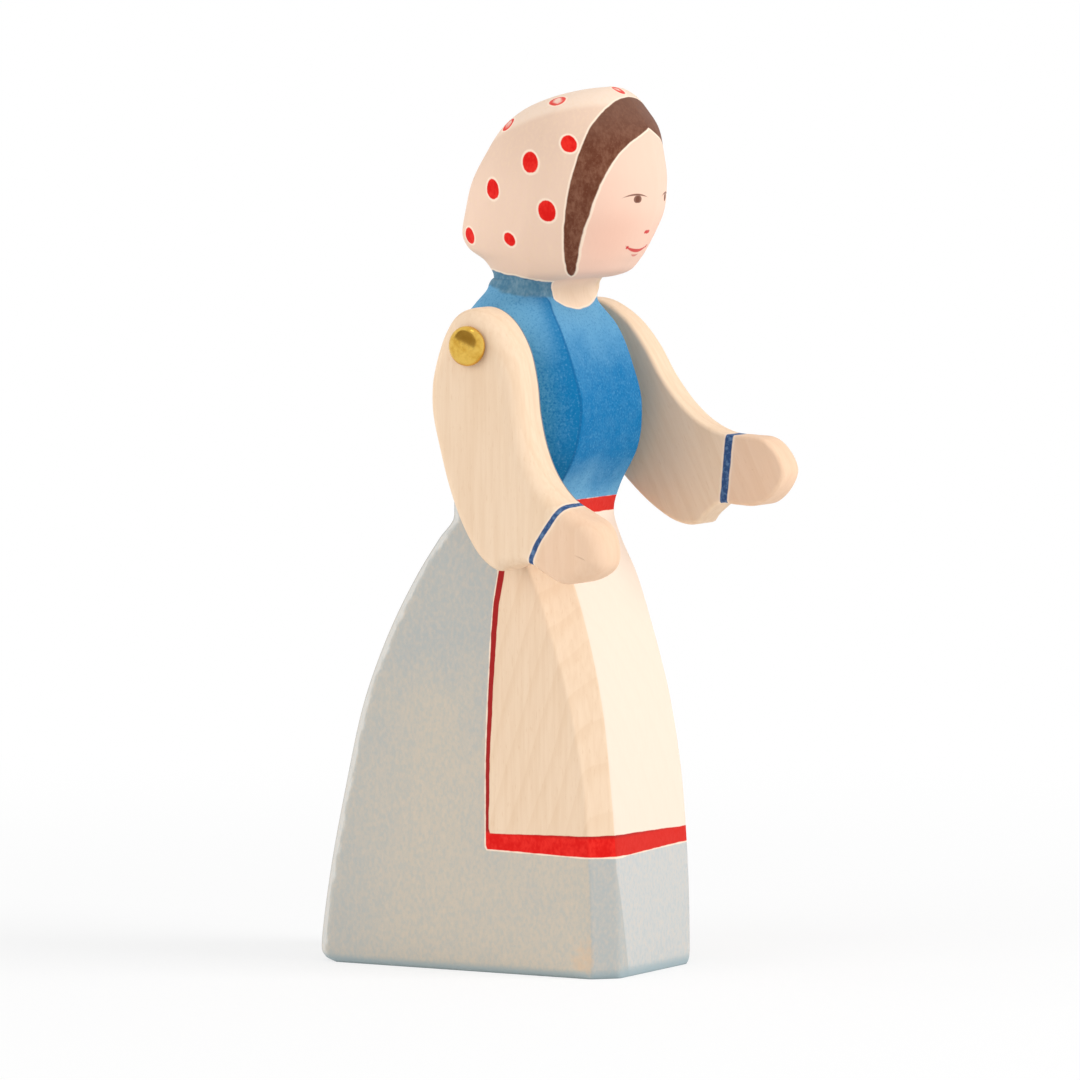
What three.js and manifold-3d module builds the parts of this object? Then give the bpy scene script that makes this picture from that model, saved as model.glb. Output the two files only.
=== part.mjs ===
// Wooden toy figure of a woman in a headscarf: one body sawn and carved from a board, and two flat arms
// that turn on round-headed brass nails. Millimetres, +Z up. The figure looks along -Y, its left arm is
// on the +X side, and the origin is the middle of the flat base that it stands on.

import * as THREE from 'three';
import { mergeVertices } from 'three/addons/utils/BufferGeometryUtils.js';
import Module from 'manifold-3d';

// Board that the body is sawn from, and the heights of the zones carved from it
const BOARD = 27;
const SKIRT_HEIGHT = 64;
const BODICE_HEIGHT = 26;
const NECK_HEIGHT = 6.8;
const HEAD_HEIGHT = 27.2;

// Reach of each zone to the front and to the back of the middle of the base
const HEM_FRONT = 24.5;
const HEM_BACK = 24.3;
const WAIST_FRONT = 12.6;
const WAIST_BACK = 2.2;
const BUST_FRONT = 17.4;
const BUST_BACK = 4.2;
const NECK_FRONT = 11;
const NECK_BACK = -0.7;
const FACE_FRONT = 25.2;

// Other sizes of the body, and the bevels along its sawn edges
const NECK_WIDTH = 21.6;
const HEAD_WIDTH = 26.8;
const HEAD_DEPTH = 28.9;
const EASE_RISE = 2;
const FRONT_EASE = 0.25;
const SIDE_EASE = 0.6;
const BACK_EASE = 1.3;
const HEM_BEVEL = 3;
const WAIST_BEVEL = 4.4;
const SHOULDER_BEVEL = 5;
const BACK_BEVEL = 2.2;

// Arms, each cut from a thin board
const ARM_THICKNESS = 6.5;
const ARM_EDGE = 1.2;
const ARM_GAP = 0.3;
const PIVOT_FORWARD = 5.7;
const PIVOT_ABOVE_WAIST = 24.4;
const RIGHT_ARM_ANGLE = 0;
const LEFT_ARM_ANGLE = 25;

// Brass nails that the arms turn on
const NAIL_HEAD_DIAMETER = 5.6;
const NAIL_HEAD_HEIGHT = 1.7;
const NAIL_RIM = 0.4;
const NAIL_DIAMETER = 2.2;
const NAIL_POINT = 3;
const NAIL_GRIP = 11;
const HEAD_CLEARANCE = 0.3;
const BORE_CLEARANCE = 0.1;
const DRIVEN_CLEARANCE = 0.1;
const TIP_CLEARANCE = 0.4;

// How finely the round forms are divided
const AROUND = 48;
const SPAN_STEPS = 2;
const ARM_OUTLINE_STEPS = 60;
const EDGE_STEPS = 3;
const NAIL_SIDES = 24;
const DOME_STEPS = 5;

// Crispness of a section's corners, as the power of a superellipse: on the face, on the back of the head
// and where the board is sawn. The last value is how much more closely the points lie at the corners.
const FACE_POWER = 2.6;
const SCARF_POWER = 3.8;
const SAWN_POWER = 32;
const CORNER_SHARE = 0.6;

// Rounding of the hem's lower edge: shares of its rise and of its ease inwards
const HEM_EASE_SHARES = [[0, 1], [0.2, 0.45], [0.5, 0.13], [1, 0]];

// Skirt above its eased hem, up to the waist: shares of its height, of its flare to front and back, and
// of the way from the hem's bevel to the waist's
const SKIRT_SHARES = [
  [0.19, 0.98, 0.937, 0],
  [0.39, 0.9, 0.815, 0],
  [0.58, 0.755, 0.675, 0.36],
  [0.735, 0.54, 0.488, 0.71],
  [0.86, 0.31, 0.285, 0.86],
  [0.945, 0.09, 0.115, 1],
  [1, 0, 0, 1],
];

// Bodice, from the waist to the shoulders: shares of its height, of its fullness to front and back, of
// the board's width, of the way from the waist's bevel to the shoulders', and of the board's crispness
const BODICE_SHARES = [
  [0.135, 0.21, 0, 1, 0, 1],
  [0.345, 0.81, 0.4, 1, 0, 1],
  [0.575, 1, 1, 1, 0.67, 1],
  [0.81, 0.69, 0.9, 1, 1, 0.9],
  [1, 0.26, 0.05, 0.985, 1.2, 0.65],
];

// Neck: shares of its height, of its reach to front and back, of its width, of the shoulders' bevel and
// of the board's crispness
const NECK_SHARES = [
  [0.515, 1.05, 0.2, 1.14, 1.1, 0.4],
  [0.825, 1.01, 1.6, 1.03, 0.5, 0.22],
  [1, 1.1, 1.6, 0.98, 0.1, 0.145],
];

// Head, from under the chin to the crown: shares of its height, of its depth that the face lies behind
// its foremost point, of its depth, of its width and of the crispness of its back
const HEAD_SHARES = [
  [0.02, 0.3, 0.547, 0.79, 1],
  [0.05, 0.215, 0.643, 0.83, 1],
  [0.105, 0.16, 0.74, 0.885, 1],
  [0.17, 0.105, 0.893, 0.93, 1],
  [0.245, 0.06, 0.97, 0.965, 1],
  [0.36, 0.01, 1, 0.99, 1],
  [0.505, 0, 0.97, 1, 1],
  [0.655, 0.026, 0.86, 0.97, 1],
  [0.78, 0.056, 0.75, 0.89, 1],
  [0.88, 0.125, 0.57, 0.75, 0.95],
  [0.945, 0.18, 0.38, 0.56, 0.85],
  [0.985, 0.24, 0.165, 0.31, 0.75],
  [1, 0.28, 0, 0, 0.7],
];

// Outline of an arm that hangs at rest, as reach to the front of the pivot and height above it: from the
// top of the shoulder down the back to the elbow, round the hand and up the front
const ARM_OUTLINE = [
  [-0.6, 5.2], [-3.3, 4.2], [-5.2, 1.4], [-6.2, -3.6], [-6.4, -9], [-5.2, -14.6], [-3.3, -21],
  [-0.9, -26.3], [1.7, -29.8], [4.4, -31.3], [7, -30.5], [9.2, -30.1], [11.4, -31.3], [14.6, -32.7],
  [18.2, -32], [20.4, -30.2], [20.6, -27.5], [19.4, -24.6], [16.6, -22.9], [13.8, -21.3], [11.2, -18.4],
  [9.4, -14.7], [8.2, -10], [7.6, -5], [6.4, -0.4], [4.1, 3.2], [1.6, 4.9],
];

const { lerp, degToRad } = THREE.MathUtils;
const wasm = await Module();
wasm.setup();

function toSolid(geometry) {
  geometry.deleteAttribute('normal');
  geometry.deleteAttribute('uv');
  const merged = mergeVertices(geometry);
  return new wasm.Manifold(new wasm.Mesh({
    numProp: 3,
    vertProperties: new Float32Array(merged.attributes.position.array),
    triVerts: new Uint32Array(merged.index.array),
  }));
}

function toGeometry(solid) {
  const mesh = solid.getMesh();
  const geometry = new THREE.BufferGeometry();
  geometry.setAttribute('position', new THREE.BufferAttribute(mesh.vertProperties, mesh.numProp));
  geometry.setIndex(new THREE.BufferAttribute(mesh.triVerts, 1));
  geometry.computeVertexNormals();
  return geometry;
}

// Round rod along X between two places, used to bore a hole on the pivot's axis
function rodAlongX(diameter, from, to, y, z) {
  const rod = new THREE.CylinderGeometry(diameter / 2, diameter / 2, Math.abs(to - from), NAIL_SIDES);
  rod.rotateZ(Math.PI / 2);
  rod.translate((from + to) / 2, y, z);
  return toSolid(rod);
}

// Levels of the body from the base up, each with its height, its reach to the front and to the back, its
// width, its front bevel and its crispness in front and behind
function bodyLevels() {
  const waist = SKIRT_HEIGHT;
  const shoulder = waist + BODICE_HEIGHT;
  const chin = shoulder + NECK_HEIGHT;
  const sawn = (share) => [share * SAWN_POWER, share * SAWN_POWER];
  return [
    ...HEM_EASE_SHARES.map(([rise, ease]) => [
      rise * EASE_RISE, HEM_FRONT - ease * FRONT_EASE, HEM_BACK - ease * BACK_EASE,
      BOARD - 2 * ease * SIDE_EASE, HEM_BEVEL, ...sawn(1),
    ]),
    ...SKIRT_SHARES.map(([rise, front, back, bevel]) => [
      rise * SKIRT_HEIGHT, lerp(WAIST_FRONT, HEM_FRONT, front), lerp(WAIST_BACK, HEM_BACK, back),
      BOARD, lerp(HEM_BEVEL, WAIST_BEVEL, bevel), ...sawn(1),
    ]),
    ...BODICE_SHARES.map(([rise, front, back, width, bevel, crisp]) => [
      waist + rise * BODICE_HEIGHT, lerp(WAIST_FRONT, BUST_FRONT, front), lerp(WAIST_BACK, BUST_BACK, back),
      width * BOARD, lerp(WAIST_BEVEL, SHOULDER_BEVEL, bevel), ...sawn(crisp),
    ]),
    ...NECK_SHARES.map(([rise, front, back, width, bevel, crisp]) => [
      shoulder + rise * NECK_HEIGHT, front * NECK_FRONT, back * NECK_BACK,
      width * NECK_WIDTH, bevel * SHOULDER_BEVEL, ...sawn(crisp),
    ]),
    ...HEAD_SHARES.map(([rise, setback, depth, width, crisp]) => [
      chin + rise * HEAD_HEIGHT, FACE_FRONT - setback * HEAD_DEPTH,
      (depth + setback) * HEAD_DEPTH - FACE_FRONT, width * HEAD_WIDTH, 0, FACE_POWER, crisp * SCARF_POWER,
    ]),
  ];
}

// Smooth curve through rows of numbers: a centripetal Catmull-Rom curve, with the knots spaced by the
// first three numbers of each row, and level where a number turns back or stops changing
function curveThrough(rows, steps) {
  const minus = (a, b) => a.map((value, k) => value - b[k]);
  const knot = (step) => Math.sqrt(Math.hypot(...step.slice(0, 3)));
  const beyond = (end, next) => end.map((value, k) => 2 * value - next[k]);
  const slope = (before, after, knotBefore, knotAfter) => before.map((step, k) => (step * after[k] > 0
    ? step / knotBefore + after[k] / knotAfter - (step + after[k]) / (knotBefore + knotAfter) : 0));
  const all = [beyond(rows[0], rows[1]), ...rows, beyond(rows.at(-1), rows.at(-2))];
  const curve = [];
  for (let i = 1; i < all.length - 2; i++) {
    const [a, b, c, d] = all.slice(i - 1, i + 3);
    const [before, span, after] = [minus(b, a), minus(c, b), minus(d, c)];
    const leave = slope(before, span, knot(before), knot(span)).map((value) => value * knot(span));
    const arrive = slope(span, after, knot(span), knot(after)).map((value) => value * knot(span));
    for (let step = 0; step < steps; step++) {
      const t = step / steps;
      curve.push(b.map((value, k) => value + leave[k] * t + (3 * span[k] - 2 * leave[k] - arrive[k]) * t ** 2
        + (leave[k] + arrive[k] - 2 * span[k]) * t ** 3));
    }
  }
  curve.push(rows.at(-1));
  return curve;
}

// Point of a level's section: an ellipse pushed out to a superellipse whose corners are bevelled
function sectionPoint([z, front, back, width, bevel, frontPower, backPower], turn) {
  const angle = turn + CORNER_SHARE * Math.sin(4 * turn) / 4;
  const inFront = Math.sin(angle) < 0;
  const halfWidth = width / 2;
  const halfDepth = (front + back) / 2;
  const across = Math.abs(Math.cos(angle));
  const along = Math.abs(Math.sin(angle));
  const leg = inFront ? bevel : Math.min(bevel, BACK_BEVEL);
  const power = inFront ? frontPower : backPower;
  const corner = (halfWidth * across + halfDepth * along) / (halfWidth + halfDepth - leg);
  const reach = (across ** power + along ** power + corner ** power) ** (-1 / power);
  const middle = (back - front) / 2;
  return [reach * halfWidth * Math.cos(angle), middle + reach * halfDepth * Math.sin(angle), z];
}

// Skin over the stacked sections, closed by a flat base below and by one point at the crown
function loftGeometry(levels) {
  const rings = levels.slice(0, -1);
  const [crownHeight, crownFront] = levels.at(-1);
  const [, baseFront, baseBack] = levels[0];
  const points = [];
  for (const level of rings) {
    for (let j = 0; j < AROUND; j++) {
      points.push(...sectionPoint(level, 2 * Math.PI * j / AROUND));
    }
  }
  const base = points.push(0, (baseBack - baseFront) / 2, 0) / 3 - 1;
  const crown = points.push(0, -crownFront, crownHeight) / 3 - 1;
  const faces = [];
  const last = (rings.length - 1) * AROUND;
  for (let j = 0; j < AROUND; j++) {
    const next = (j + 1) % AROUND;
    faces.push(base, next, j, last + j, last + next, crown);
    for (let row = 0; row < last; row += AROUND) {
      const [a, b, c, d] = [row + j, row + next, row + AROUND + next, row + AROUND + j];
      faces.push(a, b, c, a, c, d);
    }
  }
  const geometry = new THREE.BufferGeometry();
  geometry.setAttribute('position', new THREE.Float32BufferAttribute(points, 3));
  geometry.setIndex(faces);
  return geometry;
}

const armInside = BOARD / 2 + ARM_GAP;
const armOutside = armInside + ARM_THICKNESS;
const nailSeat = armOutside + HEAD_CLEARANCE;
const nailTip = BOARD / 2 - NAIL_GRIP;
const pivotY = -PIVOT_FORWARD;
const pivotZ = SKIRT_HEIGHT + PIVOT_ABOVE_WAIST;

// Body with the two holes that the nails are driven into
function bodyGeometry() {
  const levels = curveThrough(bodyLevels(), SPAN_STEPS);
  const holeDiameter = NAIL_DIAMETER + 2 * DRIVEN_CLEARANCE;
  let solid = toSolid(loftGeometry(levels));
  for (const side of [-1, 1]) {
    const bottom = side * (nailTip - TIP_CLEARANCE);
    const hole = rodAlongX(holeDiameter, bottom, side * armOutside, pivotY, pivotZ);
    solid = solid.subtract(hole);
  }
  return toGeometry(solid);
}

// Arm about its pivot, with rounded edges and a bore for the nail
function armGeometry() {
  const corners = ARM_OUTLINE.map(([forward, up]) => new THREE.Vector3(-forward, up, 0));
  const outline = new THREE.CatmullRomCurve3(corners, true, 'centripetal').getPoints(ARM_OUTLINE_STEPS);
  const shape = new THREE.Shape(outline.slice(0, -1).map(({ x, y }) => new THREE.Vector2(x, y)));
  const board = new THREE.ExtrudeGeometry(shape, {
    depth: ARM_THICKNESS - 2 * ARM_EDGE,
    bevelThickness: ARM_EDGE,
    bevelSize: ARM_EDGE,
    bevelOffset: -ARM_EDGE,
    bevelSegments: EDGE_STEPS,
    curveSegments: 1,
  });
  board.translate(0, 0, ARM_EDGE - ARM_THICKNESS / 2);
  board.applyMatrix4(new THREE.Matrix4().makeBasis(
    new THREE.Vector3(0, 1, 0), new THREE.Vector3(0, 0, 1), new THREE.Vector3(1, 0, 0)));
  const bore = rodAlongX(NAIL_DIAMETER + 2 * BORE_CLEARANCE, -ARM_THICKNESS, ARM_THICKNESS, 0, 0);
  return toGeometry(toSolid(board).subtract(bore));
}

// Nail along +X, with its point at nailTip and its domed head seated over the arm's outer face
function nailGeometry() {
  const headRadius = NAIL_HEAD_DIAMETER / 2;
  const profile = [
    new THREE.Vector2(0, nailTip),
    new THREE.Vector2(NAIL_DIAMETER / 2, nailTip + NAIL_POINT),
    new THREE.Vector2(NAIL_DIAMETER / 2, nailSeat),
    new THREE.Vector2(headRadius - NAIL_RIM / 2, nailSeat),
  ];
  for (let step = 0; step < DOME_STEPS; step++) {
    const rise = Math.PI / 2 * step / DOME_STEPS;
    profile.push(new THREE.Vector2(headRadius * Math.cos(rise),
      nailSeat + NAIL_RIM + (NAIL_HEAD_HEIGHT - NAIL_RIM) * Math.sin(rise)));
  }
  profile.push(new THREE.Vector2(0, nailSeat + NAIL_HEAD_HEIGHT));
  const nail = new THREE.LatheGeometry(profile, NAIL_SIDES);
  nail.rotateZ(-Math.PI / 2);
  return nail;
}

const paintedWood = new THREE.MeshStandardMaterial({ color: 0xd9c6ae, roughness: 0.75, metalness: 0 });
const bareWood = new THREE.MeshStandardMaterial({ color: 0xebcdae, roughness: 0.65, metalness: 0 });
const brass = new THREE.MeshStandardMaterial({ color: 0xd9b24c, roughness: 0.25, metalness: 1 });

function namedMesh(name, geometry, material) {
  const mesh = new THREE.Mesh(geometry, material);
  mesh.name = name;
  return mesh;
}

const figure = new THREE.Group();
figure.add(namedMesh('body', bodyGeometry(), paintedWood));

const arms = [
  { name: 'right', side: -1, angle: RIGHT_ARM_ANGLE },
  { name: 'left', side: 1, angle: LEFT_ARM_ANGLE },
];
for (const { name, side, angle } of arms) {
  const shoulder = new THREE.Group();
  shoulder.position.set(0, pivotY, pivotZ);
  const arm = namedMesh(`${name}_arm`, armGeometry(), bareWood);
  arm.position.x = side * (armInside + armOutside) / 2;
  arm.rotation.x = -degToRad(angle);
  const nail = namedMesh(`${name}_nail`, nailGeometry(), brass);
  nail.rotation.z = side > 0 ? 0 : Math.PI;
  shoulder.add(arm, nail);
  figure.add(shoulder);
}

export default figure;
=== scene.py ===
"""Looks of a carved wooden toy figure in a dotted headscarf, blue bodice, grey skirt and apron.

The body, arms and nails of the frame are made again in the same places as fine surfaces, and painted
with thin water stains over pale wood. Shapes are worked out in millimetres in the frame's own axes: +Z
is up, the figure looks along -Y, and its right arm is on the -X side.
"""

import math

import bpy
import numpy as np
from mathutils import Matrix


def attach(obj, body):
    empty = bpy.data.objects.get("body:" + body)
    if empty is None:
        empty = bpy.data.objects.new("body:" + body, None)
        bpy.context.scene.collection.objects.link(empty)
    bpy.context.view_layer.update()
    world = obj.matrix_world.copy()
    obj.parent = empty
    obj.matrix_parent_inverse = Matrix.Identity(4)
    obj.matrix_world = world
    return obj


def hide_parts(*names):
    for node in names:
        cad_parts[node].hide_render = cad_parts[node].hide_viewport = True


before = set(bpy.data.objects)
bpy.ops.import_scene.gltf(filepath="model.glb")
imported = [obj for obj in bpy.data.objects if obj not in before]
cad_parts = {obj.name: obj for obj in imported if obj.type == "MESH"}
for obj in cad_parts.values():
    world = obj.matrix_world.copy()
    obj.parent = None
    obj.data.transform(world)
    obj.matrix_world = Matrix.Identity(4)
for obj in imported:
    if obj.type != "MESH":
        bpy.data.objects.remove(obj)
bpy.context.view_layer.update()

MM = 0.001

# Board that the body is sawn from, and the heights of the zones carved from it
BOARD = 27
SKIRT_HEIGHT = 64
BODICE_HEIGHT = 26
NECK_HEIGHT = 6.8
HEAD_HEIGHT = 27.2
SHOULDER_Z = SKIRT_HEIGHT + BODICE_HEIGHT
CHIN_Z = SHOULDER_Z + NECK_HEIGHT

# Reach of each zone to the front and to the back of the middle of the base
HEM_FRONT = 24.5
HEM_BACK = 24.3
WAIST_FRONT = 12.6
WAIST_BACK = 2.2
BUST_FRONT = 17.4
BUST_BACK = 4.2
NECK_FRONT = 11
NECK_BACK = -0.7
FACE_FRONT = 25.2

# Other sizes of the body, and the bevels along its sawn edges
NECK_WIDTH = 21.6
HEAD_WIDTH = 26.8
HEAD_DEPTH = 28.9
EASE_RISE = 2
FRONT_EASE = 0.25
SIDE_EASE = 0.6
BACK_EASE = 1.3
HEM_BEVEL = 3
WAIST_BEVEL = 4.4
SHOULDER_BEVEL = 5
BACK_BEVEL = 2.2

# Arms, each cut from a thin board, and the nails that they turn on
ARM_THICKNESS = 6.5
ARM_EDGE = 1.2
FRONT_EDGE = 2.6
SHOULDER_EDGE = 3.4
INNER_EDGE = 0.6
ARM_INSET = 0.05
ARM_GAP = 0.3
PIVOT_Y = -5.7
PIVOT_RISE = 24.4
PIVOT_Z = SKIRT_HEIGHT + PIVOT_RISE
SIDES = (("right", -1), ("left", 1))
ARM_ANGLES = {"right": 0, "left": 25}
NAIL_HEAD_DIAMETER = 5.6
NAIL_HEAD_HEIGHT = 1.7
NAIL_RIM = 0.4
NAIL_DIAMETER = 2.2
NAIL_POINT = 3
NAIL_GRIP = 11
HEAD_CLEARANCE = 0.3
BORE_CLEARANCE = 0.1
ARM_MIDDLE = BOARD / 2 + ARM_GAP + ARM_THICKNESS / 2
NAIL_SEAT = BOARD / 2 + ARM_GAP + ARM_THICKNESS + HEAD_CLEARANCE

# Where an arm's outer edge grows rounder: as it turns to face the front, as the share of its outward
# direction, and at the shoulder, as height above the pivot
FRONT_TURN = (-0.1, 0.7)
SHOULDER_RISE = (-6, 3)

# Profile of a nail: shares of its point at which rings lie, distances of the rings beside its creases,
# and the roll under its head, as distance in from the head's edge and height above its seat
POINT_SHARES = (0.02, 0.97, 1)
POINT_CREASE = 0.1
SEAT_CREASE = 0.05
HEAD_ROLL = ((0.25, 0), (0.12, 0.02), (0.03, 0.1), (0, 0.22))

# Crispness of a section's corners, as the power of a superellipse, how much more closely points lie
# there, and the sines of the angles round the head between which the face's power turns into the
# scarf's
FACE_POWER = 2.6
SCARF_POWER = 3.8
SAWN_POWER = 32
CORNER_SHARE = 0.6
EXTRA_CRISPNESS = 5
FACE_TURN = (-0.5, 0.5)

# Distance inside an area that stands for being nowhere near it
FAR_OUTSIDE = -float(BOARD)

# Rounding of the hem's lower edge: shares of its rise and of its ease inwards
HEM_EASE_SHARES = ((0, 1), (0.2, 0.45), (0.5, 0.13), (1, 0))

# Skirt above its eased hem: shares of its height, of its flare to front and back, and of its change of
# bevel
SKIRT_SHARES = (
    (0.19, 0.98, 0.937, 0),
    (0.39, 0.9, 0.815, 0),
    (0.58, 0.755, 0.675, 0.36),
    (0.735, 0.54, 0.488, 0.71),
    (0.86, 0.31, 0.285, 0.86),
    (0.945, 0.09, 0.115, 1),
    (1, 0, 0, 1),
)

# Bodice: shares of its height, of its fullness to front and back, of the board's width, of its change
# of bevel and of the board's crispness
BODICE_SHARES = (
    (0.135, 0.21, 0, 1, 0, 1),
    (0.345, 0.81, 0.4, 1, 0, 1),
    (0.575, 1, 1, 1, 0.67, 1),
    (0.81, 0.69, 0.9, 1, 1, 0.9),
    (1, 0.26, 0.05, 0.985, 1.2, 0.65),
)

# Neck: shares of its height, of its reach to front and back, of its width, of the shoulders' bevel and
# of the board's crispness
NECK_SHARES = (
    (0.515, 1.05, 0.2, 1.14, 1.1, 0.4),
    (0.825, 1.01, 1.6, 1.03, 0.5, 0.22),
    (1, 1.1, 1.6, 0.98, 0.1, 0.145),
)

# Head, from under the chin to the crown: shares of its height, of its depth that the face lies behind
# its foremost point, of its depth, of its width and of the crispness of its back
HEAD_SHARES = (
    (0.02, 0.3, 0.547, 0.79, 1),
    (0.05, 0.215, 0.643, 0.83, 1),
    (0.105, 0.16, 0.74, 0.885, 1),
    (0.17, 0.105, 0.893, 0.93, 1),
    (0.245, 0.06, 0.97, 0.965, 1),
    (0.36, 0.01, 1, 0.99, 1),
    (0.505, 0, 0.97, 1, 1),
    (0.655, 0.026, 0.86, 0.97, 1),
    (0.78, 0.056, 0.75, 0.89, 1),
    (0.88, 0.125, 0.57, 0.75, 0.95),
    (0.945, 0.18, 0.38, 0.56, 0.85),
    (0.985, 0.24, 0.165, 0.31, 0.75),
    (1, 0.28, 0, 0, 0.7),
)

# Outline of an arm that hangs at rest, as reach to the front of the pivot and height above it: from the
# top of the shoulder down the back to the elbow, round the hand and up the front, and the corner at the
# fingertip
ARM_OUTLINE = (
    (-0.6, 5.2), (-3.3, 4.2), (-5.2, 1.4), (-6.2, -3.6), (-6.4, -9), (-5.2, -14.6), (-3.3, -21),
    (-0.9, -26.3), (1.7, -29.8), (4.4, -31.3), (7, -30.5), (9.2, -30.1), (11.4, -31.3), (14.6, -32.7),
    (18.2, -32), (20.4, -30.2), (20.6, -27.5), (19.4, -24.6), (16.6, -22.9), (13.8, -21.3),
    (11.2, -18.4), (9.4, -14.7), (8.2, -10), (7.6, -5), (6.4, -0.4), (4.1, 3.2), (1.6, 4.9),
)
FINGERTIP = 16

# Line along the middle of an arm's face, from the foot of its bore into the hand
ARM_SPINE = (
    (0, -1.2), (0.5, -5), (1, -10), (2.3, -15.5), (4.6, -21), (8, -25.2), (11.6, -27), (16, -27.8),
)

# How finely the surfaces are divided, in mm along the body, as shares from the middle of the base and in
# counts elsewhere, and the digits in which points that share a place agree
HEAD_PITCH = 0.38
DRESS_PITCH = 1
AROUND_BODY = 312
BASE_RINGS = (0.3, 0.7, 0.93, 0.99)
SIDE_STEPS = 150
BORE_STEPS = 24
FACE_STEPS = 8
EDGE_STEPS = 8
RIM_STEPS = 4
AROUND_NAIL = 72
DOME_STEPS = 24
OUTLINE_STEPS = 32
PAINT_STEPS = 4
CUFF_STEPS = 6
WELD_DIGITS = 5


def curve_through(rows, steps, closed=False):
    """Smooth curve through rows of numbers, as a cubic between each two rows.

    The slope at a row is that of a centripetal Catmull-Rom curve, whose knots are spaced by the root of
    the distance in the first three numbers. On an open curve a number is level where it turns back or
    stops.
    """
    rows = np.asarray(rows, float)
    spans = np.diff(np.vstack([rows, rows[:1]]) if closed else rows, axis=0)
    knots = np.sqrt(np.linalg.norm(spans[:, :3], axis=1))[:, None]
    first, last = (-1, 0) if closed else (0, -1)
    before, after = np.vstack([spans[[first]], spans]), np.vstack([spans, spans[[last]]])
    knot_before, knot_after = np.vstack([knots[[first]], knots]), np.vstack([knots, knots[[last]]])
    slope = before / knot_before + after / knot_after - (before + after) / (knot_before + knot_after)
    if not closed:
        slope = np.where(before * after > 0, slope, 0)
    leave, arrive = slope[:-1] * knots, slope[1:] * knots
    steps = np.broadcast_to(steps, len(spans))
    span = np.repeat(np.arange(len(spans)), steps)
    t = np.concatenate([np.arange(count) / count for count in steps])[:, None]
    square, cube = 3 * spans - 2 * leave - arrive, leave + arrive - 2 * spans
    curve = rows[span] + leave[span] * t + square[span] * t**2 + cube[span] * t**3
    return curve if closed else np.vstack([curve, rows[-1:]])


def evenly(curve, count):
    """Points along an open polyline at even distances."""
    along = np.concatenate([[0], np.cumsum(np.linalg.norm(np.diff(curve, axis=0), axis=1))])
    wanted = np.linspace(0, along[-1], count)
    return np.stack([np.interp(wanted, along, curve[:, k]) for k in range(curve.shape[1])], -1)


def eased(value, low, high):
    """Share from zero to one as a value goes from low to high, with a soft start and end."""
    share = np.clip((value - low) / (high - low), 0, 1)
    return share**2 * (3 - 2 * share)


def grid_faces(rows, columns):
    """Quads between the rows of a grid whose columns close into rings."""
    first = np.arange(rows - 1)[:, None] * columns
    here = np.arange(columns)[None]
    after = (here + 1) % columns
    following = first + columns
    quads = np.stack([first + here, first + after, following + after, following + here], -1)
    return quads.reshape(-1, 4)


def pole_fans(rows, columns):
    """Triangles that close the first and the last ring of a grid to two points that follow its own."""
    here = np.arange(columns)
    after = (here + 1) % columns
    last = (rows - 1) * columns
    pole = np.full(columns, rows * columns)
    first_fan = np.stack([pole, after, here], -1)
    last_fan = np.stack([last + here, last + after, pole + 1], -1)
    return np.concatenate([first_fan, last_fan])


def put_in_scene(name, data):
    """Object of a mesh, a lamp or a camera, linked into the scene."""
    made = bpy.data.objects.new(name, data)
    bpy.context.scene.collection.objects.link(made)
    return made


def make_piece(name, points, quads, fans, material, attributes):
    """Mesh object at the origin from points in mm, quads and fans, with attributes on its points."""
    mesh = bpy.data.meshes.new(name)
    corners = np.concatenate([quads.ravel(), fans.ravel()])
    starts = np.concatenate([np.arange(len(quads)) * 4, len(quads) * 4 + np.arange(len(fans)) * 3])
    mesh.vertices.add(len(points))
    mesh.vertices.foreach_set("co", (points * MM).astype(np.float32).ravel())
    mesh.loops.add(len(corners))
    mesh.loops.foreach_set("vertex_index", corners.astype(np.int32))
    mesh.polygons.add(len(starts))
    mesh.polygons.foreach_set("loop_start", starts.astype(np.int32))
    mesh.update(calc_edges=True)
    mesh.shade_smooth()
    for label, values in attributes.items():
        flat = values.ndim == 1
        layer = mesh.attributes.new(label, "FLOAT" if flat else "FLOAT_VECTOR", "POINT")
        layer.data.foreach_set("value" if flat else "vector", values.astype(np.float32).ravel())
    mesh.materials.append(material)
    return put_in_scene(name, mesh)


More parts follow.
